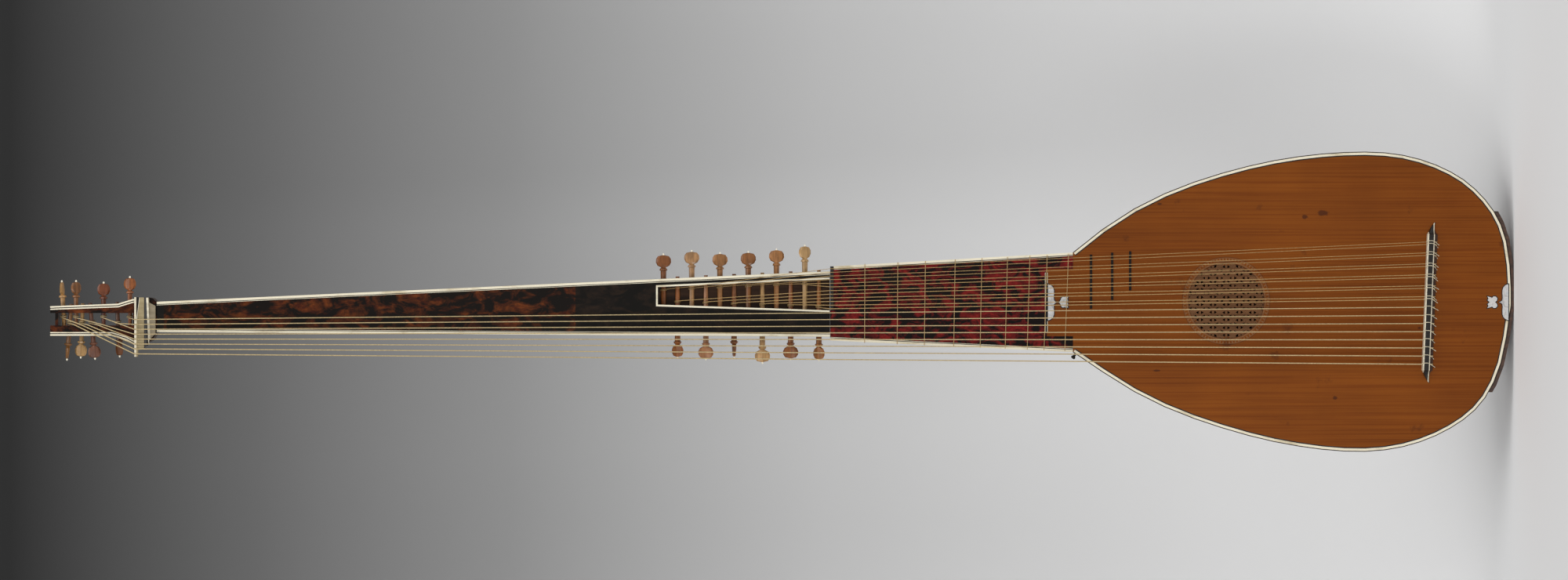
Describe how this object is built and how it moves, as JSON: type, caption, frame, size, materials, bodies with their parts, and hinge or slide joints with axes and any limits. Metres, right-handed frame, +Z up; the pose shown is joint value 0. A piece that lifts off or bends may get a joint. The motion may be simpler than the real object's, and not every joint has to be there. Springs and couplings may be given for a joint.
{
  "type": "archlute",
  "caption": "Long-necked plucked lute: rib-built bowl, pierced rose, fretted neck with paired strings, and a long neck extension with a second pegbox for free bass strings.",
  "frame": {"origin": "on the flat of the end clasp at the tail, where the instrument rests, 14 mm behind the soundboard's front", "axes": "+Z up along the neck, -Y out of the soundboard, +X towards the treble side"},
  "size_m": [0.3716, 0.1635, 1.811],
  "materials": {
    "soundboard": "aged varnished spruce",
    "ribs": "dark varnished",
    "neck_wood": "dark veneered, satin",
    "fingerboard": "red and black mottled veneer, polished",
    "ebony": "black, satin",
    "ivory": "aged ivory, satin",
    "peg_wood": "turned fruitwood, satin",
    "gut": "twisted gut"
  },
  "bodies": {
    "instrument": {"soundboard": "soundboard", "bowl": "ribs", "end_clasp": "ribs", "neck": "neck_wood", "fingerboard": "fingerboard", "nut": "ebony", "bridge": "ebony", "extension": "neck_wood", "upper_nut": "ivory", "upper_pegbox": "neck_wood", "strap_button": "ebony", "string_1a": "gut", "string_1b": "gut", "string_2a": "gut", "string_2b": "gut", "string_3a": "gut", "string_3b": "gut", "string_4a": "gut", "string_4b": "gut", "string_5a": "gut", "string_5b": "gut", "string_6a": "gut", "string_6b": "gut", "string_7": "gut", "string_8": "gut", "string_9": "gut", "string_10": "gut", "string_11": "gut", "string_12": "gut", "string_13": "gut", "string_14": "gut"},
    "lower_peg_b6": {"lower_peg_b6": "peg_wood"},
    "lower_peg_t6": {"lower_peg_t6": "peg_wood"},
    "lower_peg_b5": {"lower_peg_b5": "peg_wood"},
    "lower_peg_t5": {"lower_peg_t5": "peg_wood"},
    "lower_peg_b4": {"lower_peg_b4": "peg_wood"},
    "lower_peg_t4": {"lower_peg_t4": "peg_wood"},
    "lower_peg_b3": {"lower_peg_b3": "peg_wood"},
    "lower_peg_t3": {"lower_peg_t3": "peg_wood"},
    "lower_peg_b2": {"lower_peg_b2": "peg_wood"},
    "lower_peg_t2": {"lower_peg_t2": "peg_wood"},
    "lower_peg_b1": {"lower_peg_b1": "peg_wood"},
    "lower_peg_t1": {"lower_peg_t1": "peg_wood"},
    "upper_peg_t4": {"upper_peg_t4": "peg_wood"},
    "upper_peg_b4": {"upper_peg_b4": "peg_wood"},
    "upper_peg_t3": {"upper_peg_t3": "peg_wood"},
    "upper_peg_b3": {"upper_peg_b3": "peg_wood"},
    "upper_peg_b2": {"upper_peg_b2": "peg_wood"},
    "upper_peg_t2": {"upper_peg_t2": "peg_wood"},
    "upper_peg_b1": {"upper_peg_b1": "peg_wood"},
    "upper_peg_t1": {"upper_peg_t1": "peg_wood"},
    "tied_fret_1": {"tied_fret_1": "gut"},
    "tied_fret_2": {"tied_fret_2": "gut"},
    "tied_fret_3": {"tied_fret_3": "gut"},
    "tied_fret_4": {"tied_fret_4": "gut"},
    "tied_fret_5": {"tied_fret_5": "gut"},
    "tied_fret_6": {"tied_fret_6": "gut"},
    "tied_fret_7": {"tied_fret_7": "gut"},
    "tied_fret_8": {"tied_fret_8": "gut"},
    "tied_fret_9": {"tied_fret_9": "gut"}
  },
  "joints": [
    {"name": "lower_peg_b6_turn", "type": "hinge", "parent": "instrument", "child": "lower_peg_b6", "pos_m": [0.00852, -0.002, 0.8598], "axis": [-1, 0, 0], "continuous": true},
    {"name": "lower_peg_t6_turn", "type": "hinge", "parent": "instrument", "child": "lower_peg_t6", "pos_m": [0.00841, -0.002, 0.87732], "axis": [1, 0, 0], "continuous": true},
    {"name": "lower_peg_b5_turn", "type": "hinge", "parent": "instrument", "child": "lower_peg_b5", "pos_m": [0.0083, -0.002, 0.89484], "axis": [-1, 0, 0], "continuous": true},
    {"name": "lower_peg_t5_turn", "type": "hinge", "parent": "instrument", "child": "lower_peg_t5", "pos_m": [0.0082, -0.002, 0.91236], "axis": [1, 0, 0], "continuous": true},
    {"name": "lower_peg_b4_turn", "type": "hinge", "parent": "instrument", "child": "lower_peg_b4", "pos_m": [0.00809, -0.002, 0.92988], "axis": [-1, 0, 0], "continuous": true},
    {"name": "lower_peg_t4_turn", "type": "hinge", "parent": "instrument", "child": "lower_peg_t4", "pos_m": [0.00798, -0.002, 0.9474], "axis": [1, 0, 0], "continuous": true},
    {"name": "lower_peg_b3_turn", "type": "hinge", "parent": "instrument", "child": "lower_peg_b3", "pos_m": [0.00788, -0.002, 0.96492], "axis": [-1, 0, 0], "continuous": true},
    {"name": "lower_peg_t3_turn", "type": "hinge", "parent": "instrument", "child": "lower_peg_t3", "pos_m": [0.00777, -0.002, 0.98244], "axis": [1, 0, 0], "continuous": true},
    {"name": "lower_peg_b2_turn", "type": "hinge", "parent": "instrument", "child": "lower_peg_b2", "pos_m": [0.00766, -0.002, 0.99996], "axis": [-1, 0, 0], "continuous": true},
    {"name": "lower_peg_t2_turn", "type": "hinge", "parent": "instrument", "child": "lower_peg_t2", "pos_m": [0.00755, -0.002, 1.01748], "axis": [1, 0, 0], "continuous": true},
    {"name": "lower_peg_b1_turn", "type": "hinge", "parent": "instrument", "child": "lower_peg_b1", "pos_m": [0.00745, -0.002, 1.035], "axis": [-1, 0, 0], "continuous": true},
    {"name": "lower_peg_t1_turn", "type": "hinge", "parent": "instrument", "child": "lower_peg_t1", "pos_m": [0.00734, -0.002, 1.05252], "axis": [1, 0, 0], "continuous": true},
    {"name": "upper_peg_t4_turn", "type": "hinge", "parent": "instrument", "child": "upper_peg_t4", "pos_m": [-0.0217, -0.002, 1.714], "axis": [1, 0, 0], "continuous": true},
    {"name": "upper_peg_b4_turn", "type": "hinge", "parent": "instrument", "child": "upper_peg_b4", "pos_m": [-0.0217, -0.002, 1.729], "axis": [-0.9986, 0, -0.0523], "continuous": true},
    {"name": "upper_peg_t3_turn", "type": "hinge", "parent": "instrument", "child": "upper_peg_t3", "pos_m": [-0.0217, -0.002, 1.7465], "axis": [1, 0, 0], "continuous": true},
    {"name": "upper_peg_b3_turn", "type": "hinge", "parent": "instrument", "child": "upper_peg_b3", "pos_m": [-0.0217, -0.002, 1.7615], "axis": [-0.9962, 0, -0.0872], "continuous": true},
    {"name": "upper_peg_b2_turn", "type": "hinge", "parent": "instrument", "child": "upper_peg_b2", "pos_m": [-0.0217, -0.002, 1.7731], "axis": [-0.9993, 0, 0.0384], "continuous": true},
    {"name": "upper_peg_t2_turn", "type": "hinge", "parent": "instrument", "child": "upper_peg_t2", "pos_m": [-0.0217, -0.002, 1.7807], "axis": [1, 0, 0], "continuous": true},
    {"name": "upper_peg_b1_turn", "type": "hinge", "parent": "instrument", "child": "upper_peg_b1", "pos_m": [-0.0217, -0.002, 1.788], "axis": [-0.9969, 0, 0.0785], "continuous": true},
    {"name": "upper_peg_t1_turn", "type": "hinge", "parent": "instrument", "child": "upper_peg_t1", "pos_m": [-0.0217, -0.002, 1.7959], "axis": [0.9986, 0, 0.0523], "continuous": true},
    {"name": "tied_fret_1_slide", "type": "slide", "parent": "instrument", "child": "tied_fret_1", "axis": [0, 0, 1], "range_m": [-0.003, 0.003]},
    {"name": "tied_fret_2_slide", "type": "slide", "parent": "instrument", "child": "tied_fret_2", "axis": [0, 0, 1], "range_m": [-0.003, 0.003]},
    {"name": "tied_fret_3_slide", "type": "slide", "parent": "instrument", "child": "tied_fret_3", "axis": [0, 0, 1], "range_m": [-0.003, 0.003]},
    {"name": "tied_fret_4_slide", "type": "slide", "parent": "instrument", "child": "tied_fret_4", "axis": [0, 0, 1], "range_m": [-0.003, 0.003]},
    {"name": "tied_fret_5_slide", "type": "slide", "parent": "instrument", "child": "tied_fret_5", "axis": [0, 0, 1], "range_m": [-0.003, 0.003]},
    {"name": "tied_fret_6_slide", "type": "slide", "parent": "instrument", "child": "tied_fret_6", "axis": [0, 0, 1], "range_m": [-0.003, 0.003]},
    {"name": "tied_fret_7_slide", "type": "slide", "parent": "instrument", "child": "tied_fret_7", "axis": [0, 0, 1], "range_m": [-0.003, 0.003]},
    {"name": "tied_fret_8_slide", "type": "slide", "parent": "instrument", "child": "tied_fret_8", "axis": [0, 0, 1], "range_m": [-0.003, 0.003]},
    {"name": "tied_fret_9_slide", "type": "slide", "parent": "instrument", "child": "tied_fret_9", "axis": [0, 0, 1], "range_m": [0, 0.003]}
  ]
}
